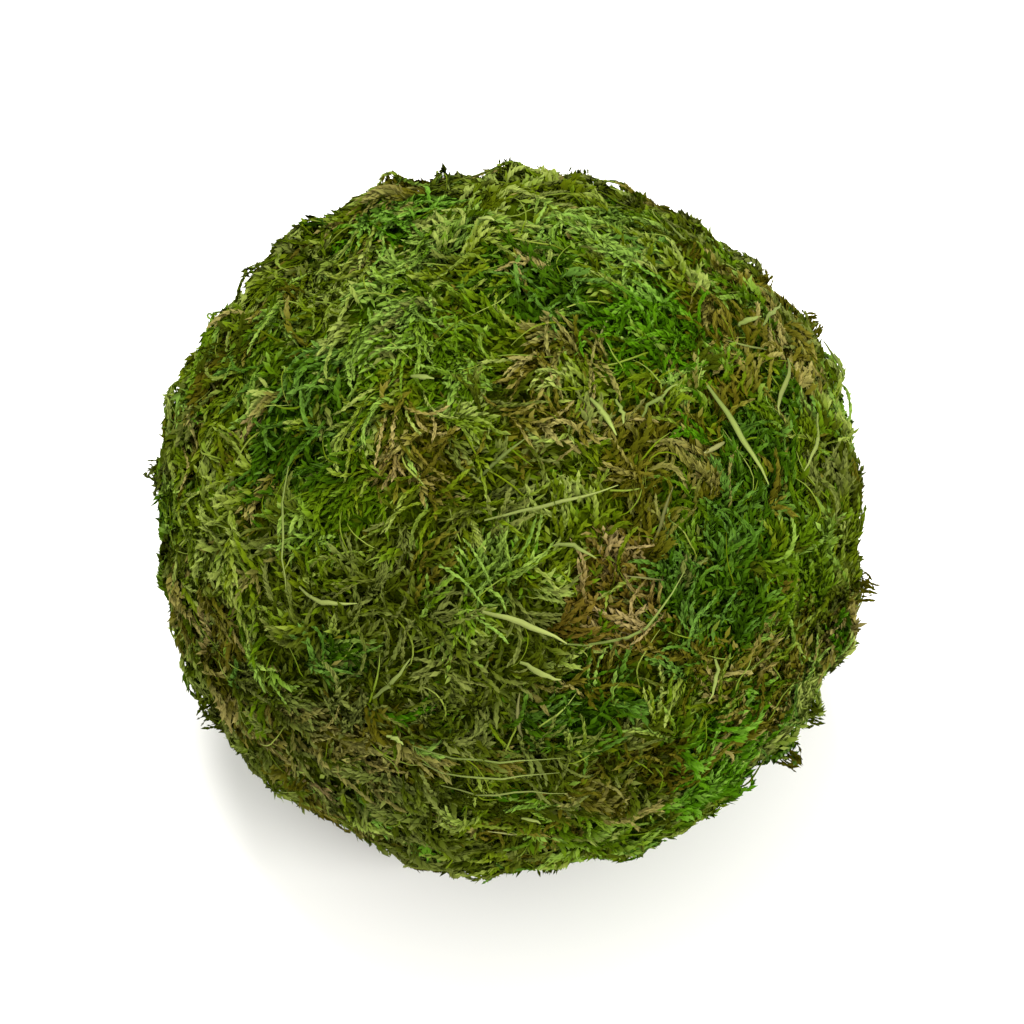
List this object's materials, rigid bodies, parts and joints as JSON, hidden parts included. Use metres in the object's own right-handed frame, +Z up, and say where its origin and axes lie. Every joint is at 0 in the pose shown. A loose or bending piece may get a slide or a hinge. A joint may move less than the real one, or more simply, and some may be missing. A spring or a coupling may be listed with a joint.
{
  "type": "moss ball",
  "caption": "Round clump of preserved sheet moss, felted into a ball that rests on its flattened underside. Decorative filler for bowls, vases and displays.",
  "frame": {"origin": "middle of the flattened underside, on the surface that the ball rests on", "axes": "+Z up through the middle of the ball, -Y towards the viewer, X to the viewer's right"},
  "size_m": [0.0804, 0.0808, 0.0753],
  "materials": {
    "moss": "matte felted moss in olive, grass green, dark green and tan, over dark gaps"
  },
  "bodies": {
    "root": {"moss_ball": "moss"}
  },
  "joints": []
}
